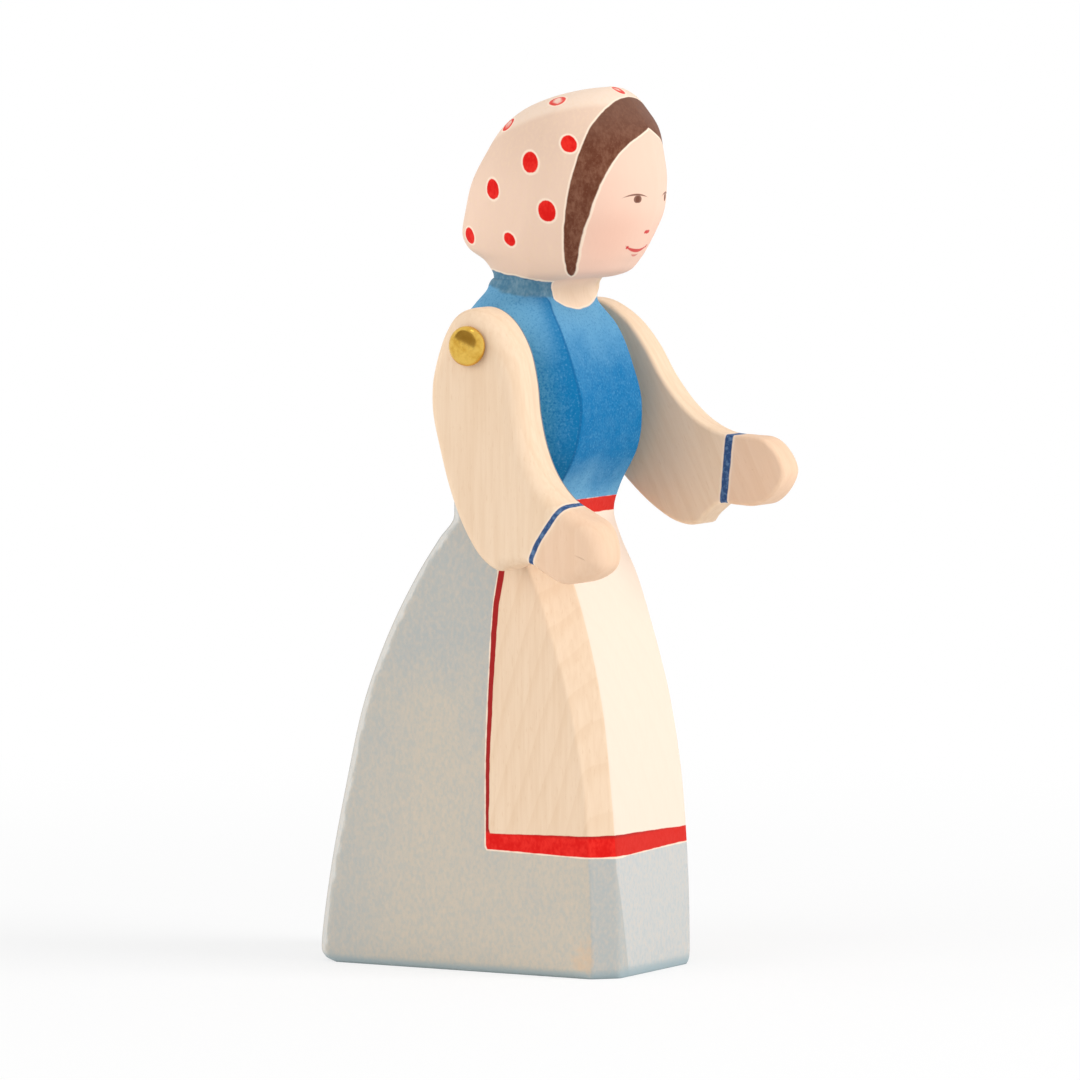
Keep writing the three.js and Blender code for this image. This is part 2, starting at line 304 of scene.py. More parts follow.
def body_levels():
    """Levels of the body from the base up, on a smooth curve through the levels that the shares give:
    height, reach to front and back, width, front bevel, and crispness in front and behind."""

    def between(low, high, share):
        return low + (high - low) * share

    rows = []
    for rise, ease in HEM_EASE_SHARES:
        rows.append((
            rise * EASE_RISE, HEM_FRONT - ease * FRONT_EASE, HEM_BACK - ease * BACK_EASE,
            BOARD - 2 * ease * SIDE_EASE, HEM_BEVEL, SAWN_POWER, SAWN_POWER,
        ))
    for rise, front, back, bevel in SKIRT_SHARES:
        rows.append((
            rise * SKIRT_HEIGHT, between(WAIST_FRONT, HEM_FRONT, front),
            between(WAIST_BACK, HEM_BACK, back), BOARD, between(HEM_BEVEL, WAIST_BEVEL, bevel),
            SAWN_POWER, SAWN_POWER,
        ))
    for rise, front, back, width, bevel, crisp in BODICE_SHARES:
        rows.append((
            SKIRT_HEIGHT + rise * BODICE_HEIGHT, between(WAIST_FRONT, BUST_FRONT, front),
            between(WAIST_BACK, BUST_BACK, back), width * BOARD,
            between(WAIST_BEVEL, SHOULDER_BEVEL, bevel), crisp * SAWN_POWER, crisp * SAWN_POWER,
        ))
    for rise, front, back, width, bevel, crisp in NECK_SHARES:
        rows.append((
            SHOULDER_Z + rise * NECK_HEIGHT, front * NECK_FRONT, back * NECK_BACK, width * NECK_WIDTH,
            bevel * SHOULDER_BEVEL, crisp * SAWN_POWER, crisp * SAWN_POWER,
        ))
    for rise, setback, depth, width, crisp in HEAD_SHARES:
        rows.append((
            CHIN_Z + rise * HEAD_HEIGHT, FACE_FRONT - setback * HEAD_DEPTH,
            (depth + setback) * HEAD_DEPTH - FACE_FRONT, width * HEAD_WIDTH, 0,
            FACE_POWER, crisp * SCARF_POWER,
        ))
    rows = np.array(rows)
    lengths = np.linalg.norm(np.diff(rows[:, :4], axis=0), axis=1)
    pitch = np.where(rows[1:, 0] > SHOULDER_Z, HEAD_PITCH, DRESS_PITCH)
    return curve_through(rows, np.ceil(lengths / pitch).astype(int))


def body_surface():
    """Skin over the stacked sections, closed by a flat base and by one point at the crown.

    A section is an ellipse, pushed out along its own rays to a superellipse whose corners a slanting
    line cuts off. A crisper power keeps the outline's size by a share of its reach. Returns the points,
    the quads, the fans, and each point's distance past the ridges of the bevels: off the front face,
    off the side towards the front and off the side towards the back.
    """
    levels = body_levels()
    crown = np.array([[0, -levels[-1, 1], levels[-1, 0]]])
    z, front, back, width, bevel, front_power, back_power = levels[:-1].T[:, :, None]
    turn = np.linspace(0, 2 * np.pi, AROUND_BODY, endpoint=False)[None]
    angle = turn + CORNER_SHARE * np.sin(4 * turn) / 4
    in_front = np.sin(angle) < 0
    half_width, half_depth = width / 2, (front + back) / 2
    across, along = np.abs(np.cos(angle)), np.abs(np.sin(angle))
    leg = np.where(in_front, bevel, np.minimum(bevel, BACK_BEVEL))
    power = front_power + (back_power - front_power) * eased(np.sin(angle), *FACE_TURN)
    crisp = power * (1 + EXTRA_CRISPNESS * (power / SAWN_POWER) ** 2)
    corner = (half_width * across + half_depth * along) / (half_width + half_depth - leg)
    fitted = 2 ** (1 / crisp - 1 / power)
    reach = fitted * (across**crisp + along**crisp + corner**crisp) ** (-1 / crisp)
    x, y = reach * half_width * np.cos(angle), reach * half_depth * np.sin(angle)
    past_front = np.where(in_front, np.abs(x) - fitted * (half_width - leg), leg)
    past_side = np.abs(y) - fitted * (half_depth - leg)
    past_back = np.where(in_front, -leg, past_side)
    past_side = np.where(in_front, past_side, -leg)
    skin = np.stack([x, (back - front) / 2 + y, np.broadcast_to(z, x.shape)], -1)
    middle = np.array([0, (levels[0, 2] - levels[0, 1]) / 2, 0])
    base = middle + np.array(BASE_RINGS)[:, None, None] * (skin[0] - middle)
    rings = np.concatenate([base, skin])
    points = np.concatenate([rings.reshape(-1, 3), middle[None], crown])
    ridges = {"past_front": past_front, "past_side": past_side, "past_back": past_back}
    for name, past in ridges.items():
        under = np.repeat(past[:1], len(base), axis=0)
        ridges[name] = np.append(np.concatenate([under, past]), [FAR_OUTSIDE] * 2)
    grid = len(rings), AROUND_BODY
    return points, grid_faces(*grid), pole_fans(*grid), ridges


def arm_surface(outside):
    """Arm about its pivot, as offset to the side, reach to the front and height, in mm.

    One parameter runs round the outline. The other runs from the middle line of one face out to the
    rounded edge, over the rim and back to the middle line of the other face. The middle line starts as
    the bore's rim, and a wall joins the two rims. On the side that faces outside, the edge is rounder
    in front and roundest at the shoulder.
    """
    outline = curve_through(ARM_OUTLINE, OUTLINE_STEPS, closed=True)
    tip = FINGERTIP * OUTLINE_STEPS
    down = evenly(outline[: tip + 1], SIDE_STEPS + 1)
    up = evenly(np.vstack([outline[tip:], outline[:1]]), SIDE_STEPS + 1)
    edge = np.vstack([down[:-1], up[:-1]])
    tangent = np.roll(edge, -1, axis=0) - np.roll(edge, 1, axis=0)
    tangent /= np.linalg.norm(tangent, axis=1)[:, None]
    inward = np.stack([-tangent[:, 1], tangent[:, 0]], -1)
    edge = edge + ARM_INSET * inward
    bore = NAIL_DIAMETER / 2 + BORE_CLEARANCE
    swing = np.linspace(0, np.pi, BORE_STEPS + 1)
    rim = bore * np.stack([-np.sin(swing), np.cos(swing)], -1)
    spine = evenly(curve_through(ARM_SPINE, OUTLINE_STEPS), SIDE_STEPS - BORE_STEPS + 1)
    behind = np.vstack([rim, spine[1:]])
    ahead = np.vstack([rim * (-1, 1), spine[1:]])[::-1]
    core = np.vstack([behind[:-1], ahead[:-1]])
    half = ARM_THICKNESS / 2
    roll = np.linspace(0, np.pi / 2, EDGE_STEPS + 1)
    shelf = np.linspace(0, 1, FACE_STEPS, endpoint=False)

    def face(side, radius):
        """Layers from the middle line of one face to the start of the rim, for edges of given radii."""
        flat = [core + share * (edge + radius * inward - core) for share in shelf]
        round_over = [edge + radius * (1 - np.sin(a)) * inward for a in roll]
        drop = [0 * radius] * FACE_STEPS + [radius * (1 - np.cos(a)) for a in roll]
        layers, drop = np.array(flat + round_over), np.array(drop)
        return np.concatenate([side * (half - drop), layers], -1)

    outer = ARM_EDGE + (FRONT_EDGE - ARM_EDGE) * eased(-inward[:, :1], *FRONT_TURN)
    outer += (SHOULDER_EDGE - outer) * eased(edge[:, 1:], *SHOULDER_RISE)
    inner = np.full_like(outer, INNER_EDGE)
    left_edge, right_edge = (outer, inner) if outside > 0 else (inner, outer)
    left, right = face(1, left_edge), face(-1, right_edge)
    across = np.linspace(0, 1, RIM_STEPS + 1)[1:-1, None, None]
    layers = np.concatenate([left, left[-1] + across * (right[-1] - left[-1]), right[::-1]])
    columns = len(edge)
    quads = grid_faces(len(layers), columns)
    ring = np.concatenate([np.arange(BORE_STEPS), np.arange(columns - BORE_STEPS, columns)])
    after = (ring + 1) % columns
    last = (len(layers) - 1) * columns
    wall = np.stack([last + ring, last + after, after, ring], -1)
    points, quads = weld(layers.reshape(-1, 3), np.concatenate([quads, wall]))
    return points, quads[:, ::-1]


def weld(points, quads):
    """Makes points that share a place one, so that the halves of a face meet on their middle line."""
    places = np.round(points, WELD_DIGITS)
    _, kept, owner = np.unique(places, axis=0, return_index=True, return_inverse=True)
    return points[kept], owner.ravel()[quads]


def nail_surface():
    """Nail along +X: a profile of radius and place along the nail, turned round its axis, with a pole
    at each end. The profile is a cone, a straight shank, a flat seat, a rolled rim and a quarter of an
    ellipse."""
    radius = NAIL_HEAD_DIAMETER / 2
    shank = NAIL_DIAMETER / 2
    tip = BOARD / 2 - NAIL_GRIP
    rise = np.linspace(0, np.pi / 2, DOME_STEPS, endpoint=False)
    dome_height = NAIL_HEAD_HEIGHT - NAIL_RIM
    dome = np.stack([radius * np.cos(rise), NAIL_SEAT + NAIL_RIM + dome_height * np.sin(rise)], -1)
    cone = [(share * shank, tip + share * NAIL_POINT) for share in POINT_SHARES]
    shaft = [(shank, tip + NAIL_POINT + POINT_CREASE), (shank, NAIL_SEAT - SEAT_CREASE)]
    seat = [(shank, NAIL_SEAT), (shank + SEAT_CREASE, NAIL_SEAT)]
    roll = [(radius - inwards, NAIL_SEAT + above) for inwards, above in HEAD_ROLL]
    profile = np.array(cone + shaft + seat + roll + dome.tolist())
    turn = np.linspace(0, 2 * np.pi, AROUND_NAIL, endpoint=False)
    rings = np.stack([
        np.broadcast_to(profile[:, 1:], (len(profile), AROUND_NAIL)),
        profile[:, :1] * np.cos(turn), profile[:, :1] * np.sin(turn),
    ], -1)
    poles = [[tip, 0, 0], [NAIL_SEAT + NAIL_HEAD_HEIGHT, 0, 0]]
    points = np.concatenate([rings.reshape(-1, 3), poles])
    grid = len(profile), AROUND_NAIL
    return points, grid_faces(*grid), pole_fans(*grid)


# Painted layout of the body, in mm. Edge of the scarf round the face, as height and y, and its lower
# edge, as y and height
SCARF_BRIM = ((96, -14.5), (102, -15.1), (108.8, -16.3), (114, -17.4), (118.6, -18.5), (123, -19.8))
SCARF_FOOT = ((-12, 96.7), (-8, 97.5), (-3, 98.3), (6, 98.4))

# Ridge between the sides and the top of the scarf, as y and height; above it the top has a painted
# highlight
SCARF_RIDGE = (
    (-21, 121.6), (-18, 121.5), (-15.8, 121.2), (-12.7, 120.5), (-9.8, 119.5), (-6.7, 118.2), (0, 115),
)

# Half of the face inside the hair, as distance from the middle and height, from the parting to the
# neck, and how far above the chin the hair ends
FACE_EDGE = (
    (0, 118.3), (2.6, 117.2), (5, 116.1), (7.2, 114.1), (8.3, 112.4), (8.95, 110.8), (9.45, 108.8),
    (9.65, 106.8), (9.65, 105.3), (9.35, 103), (8.9, 101), (8.5, 99.6), (7.8, 98.2), (6.6, 96.5),
    (6, 90),
)
HAIR_FOOT = 0.3

# Bare neck inside the collar, as distance from the middle and height, from its right side to its left
NECKLINE = (
    (-7.8, 98.5), (-7, 96.7), (-6.2, 95.4), (-5.8, 94.2), (-4, 93.45), (-2, 92.95), (0, 92.7),
    (2.2, 92.85), (4.4, 93.35), (6.6, 94.2), (8.6, 95.6), (9.5, 98.5),
)

# Lower edge of the collar, as y and height, and the apron's belt
COLLAR_FOOT = ((-11, 94.6), (-7, 95), (-4, 96), (0, 96.6))
BELT_FOOT, BELT_TOP = 64, 66.1

# Back edge of the apron on the sides of the skirt, as height and y, the width of the red line along it,
# as height and width, and the red line along the hem, which swells round one corner
APRON_EDGE = (
    (0, -4.5), (19.6, -4.5), (30, -4.6), (38.5, -5), (47.8, -5.6), (52, -6), (56.3, -6.8), (66, -8.6),
)
APRON_STRIPE = ((20, 0.48), (26, 0.6), (60, 1))
APRON_HEM_Z = 18.55
APRON_HEM_HALF = 1.05
APRON_HEM_SWELL = 0.45
APRON_HEM_SWELL_REACH = 14
APRON_CORNER = (-10.9, -22.9)

# Dots of the scarf: places near its surface, half of their width and height, and how far their feet
# lean forwards as a share of their height
DOTS = (
    (-10.8, -16.3, 116.3, 1.15, 1.2), (-12.9, -11.1, 113.7, 1.3, 1.55), (-12.3, -4.8, 110, 1.1, 1.45),
    (-12.1, -13.5, 107, 1.3, 1.55), (-12.5, -7.6, 102.8, 0.9, 1.05), (-10.9, -0.2, 103.2, 1.2, 1.2),
    (-7.6, -12.5, 122.1, 1.3, 1.2), (-9, -5.5, 118.8, 1.2, 1.2), (-0.3, -18.3, 123.5, 0.95, 1.2),
    (10.9, -15.8, 115.9, 1.2, 1.3), (12.9, -10.6, 112.2, 1.2, 1.45), (12.4, -4.4, 109.2, 1.05, 1.4),
    (12.2, -13.2, 106, 1.25, 1.45), (12.5, -7.2, 102.3, 0.9, 1), (7.2, -11.9, 122.2, 1.25, 1.2),
    (9.4, -5, 117.9, 1.2, 1.25), (0.6, -8.8, 122.6, 1.25, 1.25), (-4.4, -1.2, 117.4, 1.2, 1.35),
    (3.6, 0.7, 114.6, 1.2, 1.4), (-5.6, 3.4, 109, 1.15, 1.4), (1.2, 4, 106.4, 1.2, 1.4),
    (8, 3.4, 107.6, 1.1, 1.35), (-2.6, 4.6, 102, 1.1, 1.2), (5.2, 4.6, 101.8, 1.05, 1.15),
)
DOT_LEAN = 0.15

# Middle of the blush and of the worn spot beside the hem
CHEEK = (6.4, -20.3, 103.4)
WORN_SPOT = (-13.5, -19.8, 3.2)

# Painted marks of the face. A stroke has two ends and the bow of its outer and its inner edge, and a
# disc has its middle and its radius
EYELID = ((2.1, 108.8), (6.3, 108.7), 0.53, 0.27)
MOUTH = ((-3.2, 101.92), (3.2, 101.92), -1.02, -0.54)
LOWER_LIP = ((-1, 100.65), (1, 100.65), -0.36, -0.04)
IRIS = (3.75, 108.5, 0.52)
IRIS_SIDE = (4.08, 108.5, 0.52)
NOSE_TIP = (0, 103.8, 0.29)
NOSE_SIDE = (0.42, 103.8, 0.26)
MOUTH_CORNER = (2.7, 101.66, 0.24)


def signed_distance(points, outline):
    """Distance of points in a plane to a closed outline, positive inside: the least distance to its
    sides, with the sign from how many sides a level line from the point crosses."""
    start, step = outline, np.roll(outline, -1, axis=0) - outline
    away = points[:, None] - start[None]
    share = np.clip((away * step).sum(-1) / (step**2).sum(-1), 0, 1)
    distance = np.linalg.norm(away - share[..., None] * step, axis=-1).min(1)
    above = points[:, None, 1] >= start[None, :, 1]
    end_above = points[:, None, 1] >= start[None, :, 1] + step[None, :, 1]
    cross = step[None, :, 0] * away[..., 1] - step[None, :, 1] * away[..., 0]
    crossed = (above & ~end_above & (cross > 0)) | (~above & end_above & (cross < 0))
    return np.where(crossed.sum(1) % 2 == 1, distance, -distance)


def both_halves(half, steps):
    """Closed outline from its half on the side of +x, smoothed and mirrored."""
    curve = curve_through(half, steps)
    return np.vstack([curve, (curve * (-1, 1))[::-1][1:-1]])


def painted_layout(points):
    """Distances in mm inside the edge of each painted area, for the points of the body, and distances
    from the middle of the blush and of the worn spot. A dot is an ellipse about the nearest point of
    the surface."""
    x, y, z = points.T
    front_view = points[:, [0, 2]]
    brim = np.interp(z, *np.transpose(SCARF_BRIM))
    scarf_foot = np.interp(y, *np.transpose(SCARF_FOOT))
    ahead = (z > SHOULDER_Z) & (y < PIVOT_Y)
    face, neck = np.full((2, len(z)), FAR_OUTSIDE)
    face[ahead] = signed_distance(front_view[ahead], both_halves(FACE_EDGE, PAINT_STEPS))
    neck[ahead] = signed_distance(front_view[ahead], curve_through(NECKLINE, PAINT_STEPS))
    hair = np.minimum(np.minimum(brim - y, -face), z - CHIN_Z - HAIR_FOOT)
    back_edge = np.interp(z, *np.transpose(APRON_EDGE)) - y
    half_stripe = np.interp(z, *np.transpose(APRON_STRIPE)) / 2
    corner = np.hypot(x - APRON_CORNER[0], y - APRON_CORNER[1]) / APRON_HEM_SWELL_REACH
    hem_half = APRON_HEM_HALF + APRON_HEM_SWELL * np.exp(-(corner**2))
    below_belt = BELT_TOP - z
    collar_foot = np.interp(y, *np.transpose(COLLAR_FOOT))
    apron_outer = np.minimum(back_edge + half_stripe, z - APRON_HEM_Z + hem_half)
    apron_inner = np.minimum(back_edge - half_stripe, z - APRON_HEM_Z - hem_half)
    dots = np.full(len(z), FAR_OUTSIDE)
    for dot in np.array(DOTS):
        away = points - points[np.argmin(np.linalg.norm(points - dot[:3], axis=1))]
        width, height = dot[3:]
        level = np.hypot(away[:, 0], away[:, 1] - DOT_LEAN * away[:, 2])
        flat = np.hypot(level / width, away[:, 2] / height)
        dots = np.maximum(dots, (1 - flat) * min(width, height))
    mirrored = np.stack([np.abs(x), y, z], -1)
    return {
        "scarf": np.minimum(y - brim, z - scarf_foot),
        "hair": hair,
        "face": face,
        "dots": dots,
        "cheek": np.linalg.norm(mirrored - CHEEK, axis=1),
        # Height above the scarf's ridge, where its top has a painted highlight
        "crown": z - np.interp(y, *np.transpose(SCARF_RIDGE)),
        "bodice": np.minimum(np.minimum(z - BELT_TOP, scarf_foot - z), -neck),
        "collar": z - collar_foot,
        "belt": np.minimum(np.minimum(z - BELT_FOOT, below_belt), back_edge + half_stripe),
        "skirt": np.minimum(below_belt, -apron_outer),
        "apron_outer": np.minimum(apron_outer, below_belt),
        "apron_inner": np.minimum(apron_inner, below_belt),
        "worn": np.linalg.norm(points - WORN_SPOT, axis=1),
    }


# Cuff line across each arm, as reach to the front of the pivot and height, from the inner bend of the
# wrist down, half of its width, and far corners that close the field of the hand beyond it
CUFFS = {
    "right": (
        (17.5, -20.6), (15.2, -21.5), (14.2, -22.3), (13.2, -23.8), (11.7, -25.8), (10.3, -28.1),
        (8.6, -33.5),
    ),
    "left": ((17.3, -17.6), (14.8, -21.8), (9.3, -31), (7.6, -33.8)),
}
CUFF_HALF = {"right": 0.36, "left": 0.58}
HAND_FIELD = ((9, -60), (60, -60), (60, -10))

# Painted shade of the gap between an arm and the dress, a dark line along the arm's inner edge: depth
# of its middle from the inner face, and half of its width, where less than nothing stands for none
GAP_SHADE_MIDDLE = 0.4
GAP_SHADE_HALF = {"right": 0.32, "left": -1}


def past_cuff(board, cuff):
    """Distance in mm past a cuff line towards the fingers, for the points of an arm on its board."""
    hand = np.vstack([curve_through(cuff, CUFF_STEPS), HAND_FIELD])
    return signed_distance(board[:, 1:], hand)


# Colours of the wood, the stains and the metal
MAPLE_PALE, MAPLE_DARK = "#f1d6b9", "#e0bd99"
BARE_LINE = "#fae3cd"
APRON_FRONT = "#f5e2d2"
GREY_WARM, GREY_COOL, GREY_FRONT = "#c7bfb1", "#b1b5b4", "#c7c8c6"
HEM_SHADE_GREY, GREY_BACK_HIGHLIGHT = "#9db0b6", "#e6e4df"
RED_THIN, RED_FULL, RED_HIGHLIGHT = "#ec2c23", "#de1510", "#e9a193"
RED_LINE, RED_FRONT_SHADE = "#9c2222", "#cf2a20"
BLUE_THIN, BLUE_FULL = "#74aed0", "#0270a8"
BLUE_DEEP, BLUE_GREEN = "#0f5a90", "#4f8ca2"
COLLAR_THIN, COLLAR_FULL = "#7a9cae", "#487894"
HAIR_THIN, HAIR_FULL, HAIR_TOP = "#845844", "#653725", "#745446"
SCARF_CHALK, SCARF_SIDE_SHADE, SCARF_TOP_HIGHLIGHT = "#edceb8", "#e1c3ad", "#f7e2cf"
SKIN = "#f3ccb8"
BLUSH = "#f0a78e"
LIP_RED, LIP_PALE = "#cf2f33", "#d9877a"
HAND_PINK = "#e9bb9c"
CUFF_THIN, CUFF_FULL = "#5f7ea3", "#33507d"
GAP_SHADE_BLUE = "#44566e"
EYE_BROWN = "#74493a"
BRASS_BRIGHT, BRASS_DULL = "#e6bd5b", "#d2a340"
CARD_BROWN = "#a3947c"


def linear(colour):
    """Linear RGBA of an sRGB hex colour."""
    srgb = [int(colour[k:k + 2], 16) / 255 for k in (1, 3, 5)]
    return [c / 12.92 if c <= 0.04045 else ((c + 0.055) / 1.055) ** 2.4 for c in srgb] + [1]


def add(tree, kind, inputs=None, **settings):
    """Adds a node with its settings, links or sets its inputs, and gives its outputs."""
    made = tree.nodes.new(kind)
    for name, value in settings.items():
        setattr(made, name, value)
    for key, value in (inputs or {}).items():
        if isinstance(value, bpy.types.NodeSocket):
            tree.links.new(value, made.inputs[key])
        else:
            made.inputs[key].default_value = value
    return made.outputs


def new_material(name):
    """Empty node material and its tree."""
    material = bpy.data.materials.new(name)
    material.use_nodes = True
    material.node_tree.nodes.clear()
    return material, material.node_tree


def coat(tree, below, above, value, low, high, most=1.0):
    """Lays one colour over another where a value goes from low to high, up to a share: the share is
    eased, and the colours, hex ones or sockets, are mixed by it."""
    ramp = {"Value": value, "From Min": low, "From Max": high, "To Max": most}
    share = add(tree, "ShaderNodeMapRange", ramp, interpolation_type="SMOOTHSTEP")[0]
    below, above = (linear(c) if isinstance(c, str) else c for c in (below, above))
    return add(tree, "ShaderNodeMix", {0: share, 6: below, 7: above}, data_type="RGBA")[2]


def lumps(tree, place, size, detail=2.0, stretch=(1, 1, 1)):
    """Noise about one half, with lumps of a size in mm, drawn out along axes by shares of its scale."""
    drawn = add(tree, "ShaderNodeVectorMath", {0: place, 1: stretch}, operation="MULTIPLY")[0]
    return add(tree, "ShaderNodeTexNoise", {"Vector": drawn, "Scale": 1 / size, "Detail": detail})[0]


# Real sizes of the wood's pattern in mm. Its flecks are drawn coarser than the pores of maple, which
# are about 0.05 mm wide, so that they show
RING_PITCH = 2.6
RING_BEND = 2.2
BEND_WIDTH = 9
FIBRE_WIDTH = 0.5
FLECK_WIDTH = 0.3

# Shares of the pattern's scale that draw it out along the board, and the shares of a year's growth at
# which its late wood starts to darken and ends
RING_STRETCH = (1, 1, 0.02)
BEND_STRETCH = (1, 1, 0.25)
FIBRE_STRETCH = (1, 1, 0.06)
FLECK_STRETCH = (1, 1, 0.22)
LATE_START, LATE_END = 0.5, 0.94

# Place of the pith beside the body's and the arms' boards in mm, and the slant of their grain in
# radians
BODY_PITH, BODY_SLANT = (38, 60, 0), (-0.26, 0.1, 0)
ARM_PITH, ARM_SLANT = (-46, 9, 0), (0.02, 0, 0)

# Surface of wood that has taken up its stain or oil: strength and height in mm of the fibres' relief,
# range of the roughness and a low specular level
RELIEF_STRENGTH = 0.12
RELIEF_HEIGHT = 0.12
WOOD_ROUGHNESS = (0.54, 0.68)
WOOD_SPECULAR = 0.14
WOOD_IOR = 1.5

# Values between which most of a noise lies, and its middle
NOISE_LOW, NOISE_MIDDLE, NOISE_HIGH = 0.3, 0.5, 0.7


def maple(tree, place, pith, slant):
    """Plain-sawn maple: faint growth rings round a far pith, fibres along the board and short dark
    flecks. Gives its colour, and the fibres as a height."""
    turned = add(tree, "ShaderNodeMapping", {0: place, "Location": pith, "Rotation": slant})[0]
    turned = add(tree, "ShaderNodeVectorMath", {0: turned, 1: RING_STRETCH}, operation="MULTIPLY")[0]
    radius = add(tree, "ShaderNodeVectorMath", {0: turned}, operation="LENGTH")[1]
    bent = {0: lumps(tree, place, BEND_WIDTH, 1, BEND_STRETCH), 1: RING_BEND, 2: radius}
    radius = add(tree, "ShaderNodeMath", bent, operation="MULTIPLY_ADD")[0]
    turns = add(tree, "ShaderNodeMath", {0: radius, 1: RING_PITCH}, operation="DIVIDE")[0]
    year = add(tree, "ShaderNodeMath", {0: turns}, operation="FRACT")[0]
    fibres = lumps(tree, place, FIBRE_WIDTH, 3, FIBRE_STRETCH)
    flecks = lumps(tree, place, FLECK_WIDTH, 1, FLECK_STRETCH)
    colour = coat(tree, MAPLE_PALE, MAPLE_DARK, fibres, 0.3, 0.75, 0.3)
    late = coat(tree, colour, MAPLE_DARK, year, LATE_START, LATE_END, 0.22)
    colour = coat(tree, late, colour, year, LATE_END, 1)
    return coat(tree, colour, MAPLE_DARK, flecks, 0.62, 0.78, 0.35), fibres


def object_mm(tree):
    """Object coordinates in mm."""
    place = add(tree, "ShaderNodeTexCoord")["Object"]
    return add(tree, "ShaderNodeVectorMath", {0: place, "Scale": 1 / MM}, operation="SCALE")[0]


def matt_wood(tree, colour, height, grit):
    """Matt wood surface with the relief of its fibres, rougher where the grit is high."""
    relief = {"Height": height, "Strength": RELIEF_STRENGTH, "Distance": RELIEF_HEIGHT * MM}
    ramp = {"Value": grit, "From Min": NOISE_LOW, "From Max": NOISE_HIGH}
    ramp |= {"To Min": WOOD_ROUGHNESS[0], "To Max": WOOD_ROUGHNESS[1]}
    surface = add(tree, "ShaderNodeBsdfPrincipled", {
        "Base Color": colour, "Specular IOR Level": WOOD_SPECULAR, "IOR": WOOD_IOR,
        "Roughness": add(tree, "ShaderNodeMapRange", ramp)[0],
        "Normal": add(tree, "ShaderNodeBump", relief)[0],
    })
    add(tree, "ShaderNodeOutputMaterial", {"Surface": surface[0]})


def stroke_circles(start, end, *bows):
    """Centre and radius of the two circles through a stroke's ends that bound it, from the bow of each:
    the radius is that of an arc over the ends' distance with this bow."""
    middle = ((start[0] + end[0]) / 2, (start[1] + end[1]) / 2)
    half = math.dist(start, end) / 2
    radii = [(half**2 + bow**2) / (2 * bow) for bow in bows]
    return [((middle[0], 0, middle[1] + bow - radius), abs(radius)) for bow, radius in zip(bows, radii)]


def face_mark(tree, spot, circles):
    """Distance in mm outside a mark: beyond its first circle or, in a stroke, within its second."""
    beyond = []
    for centre, radius in circles:
        away = add(tree, "ShaderNodeVectorMath", {0: spot, 1: centre}, operation="DISTANCE")[1]
        beyond.append(add(tree, "ShaderNodeMath", {0: away, 1: radius}, operation="SUBTRACT")[0])
    if len(beyond) == 1:
        return beyond[0]
    within = add(tree, "ShaderNodeMath", {0: beyond[1], 1: -1.0}, operation="MULTIPLY")[0]
    return add(tree, "ShaderNodeMath", {0: beyond[0], 1: within}, operation="MAXIMUM")[0]


# Real sizes in mm of the stains' patterns: clouds and blotches of thicker stain, the grit of the wood
# that takes it up, specks, the waver of a painted edge, and the streaks of the hair
STAIN_CLOUD = 7
STAIN_BLOTCH = 1.8
STAIN_GRIT = 0.45
STAIN_SPECK = 0.3
EDGE_WAVER = 2.2
HAIR_STREAK = 0.6
GRIT_STRETCH = (1, 1, 0.7)
STREAK_STRETCH = (1, 1, 0.2)

# How far in mm the noise shifts an edge: clouds on the skirt and the bodice, the painted highlight along
# the back edges, wear on the worn spot, and the painted highlight in the dots on top of the head
SKIRT_CLOUDING = 24
BODICE_CLOUDING = 9
BACK_HIGHLIGHT_WAVER = 2.5
SPOT_WEAR = 6
DOT_HIGHLIGHT_WAVER = 2.4

# Heights from one colour to the next, from the base up, and the same along y for the back of the skirt;
# those of the hem, the bevel's foot and the scarf's sides bound painted shade, and those of the dots
# painted highlight
HEM_SHADE_HEIGHTS = (1.5, 0.4)
FRONT_HEM_SHADE_HEIGHTS = (1.9, 0.9)
BEVEL_SHADE_HEIGHTS = (15, 1)
LINE_TURN = (19.4, 20.2)
SKIRT_COOL = (40, 66)
SKIRT_COOL_Y = (5, 22)
BODICE_FOOT = (77, 70)
BODICE_TOP = (86, 98)
SKIN_FOOT = (95, 98.5)
NECK_PALE = (99, 96)
SCARF_SHADE = (108, 118)
HAIR_PALER_HEIGHTS = (114, 122)
DOT_HIGHLIGHT_HEIGHTS = (117.5, 121.5)
DOT_MIDDLE_HIGHLIGHT_HEIGHTS = (117.5, 119.5)

# Distances in mm: reach of the bevel's painted shade onto the front at the right foot, fading of the worn
# spot and of the blush round their middles, the line of painted shade on the bodice's ridge and its place
# past the ridge, inset of the face's marks, and half of the soft border of a fine brush line
BEVEL_SHADE_REACH = 2.6
WORN_REACH = (2.3, 0.7)
BLUSH_REACH = (7.5, 0.5)
RIDGE_SHADE_LINE = (0.24, 0.06)
RIDGE_SHADE_MIDDLE = 0.15
FACE_INSET = 0.3
BRUSH_SOFT = 0.06


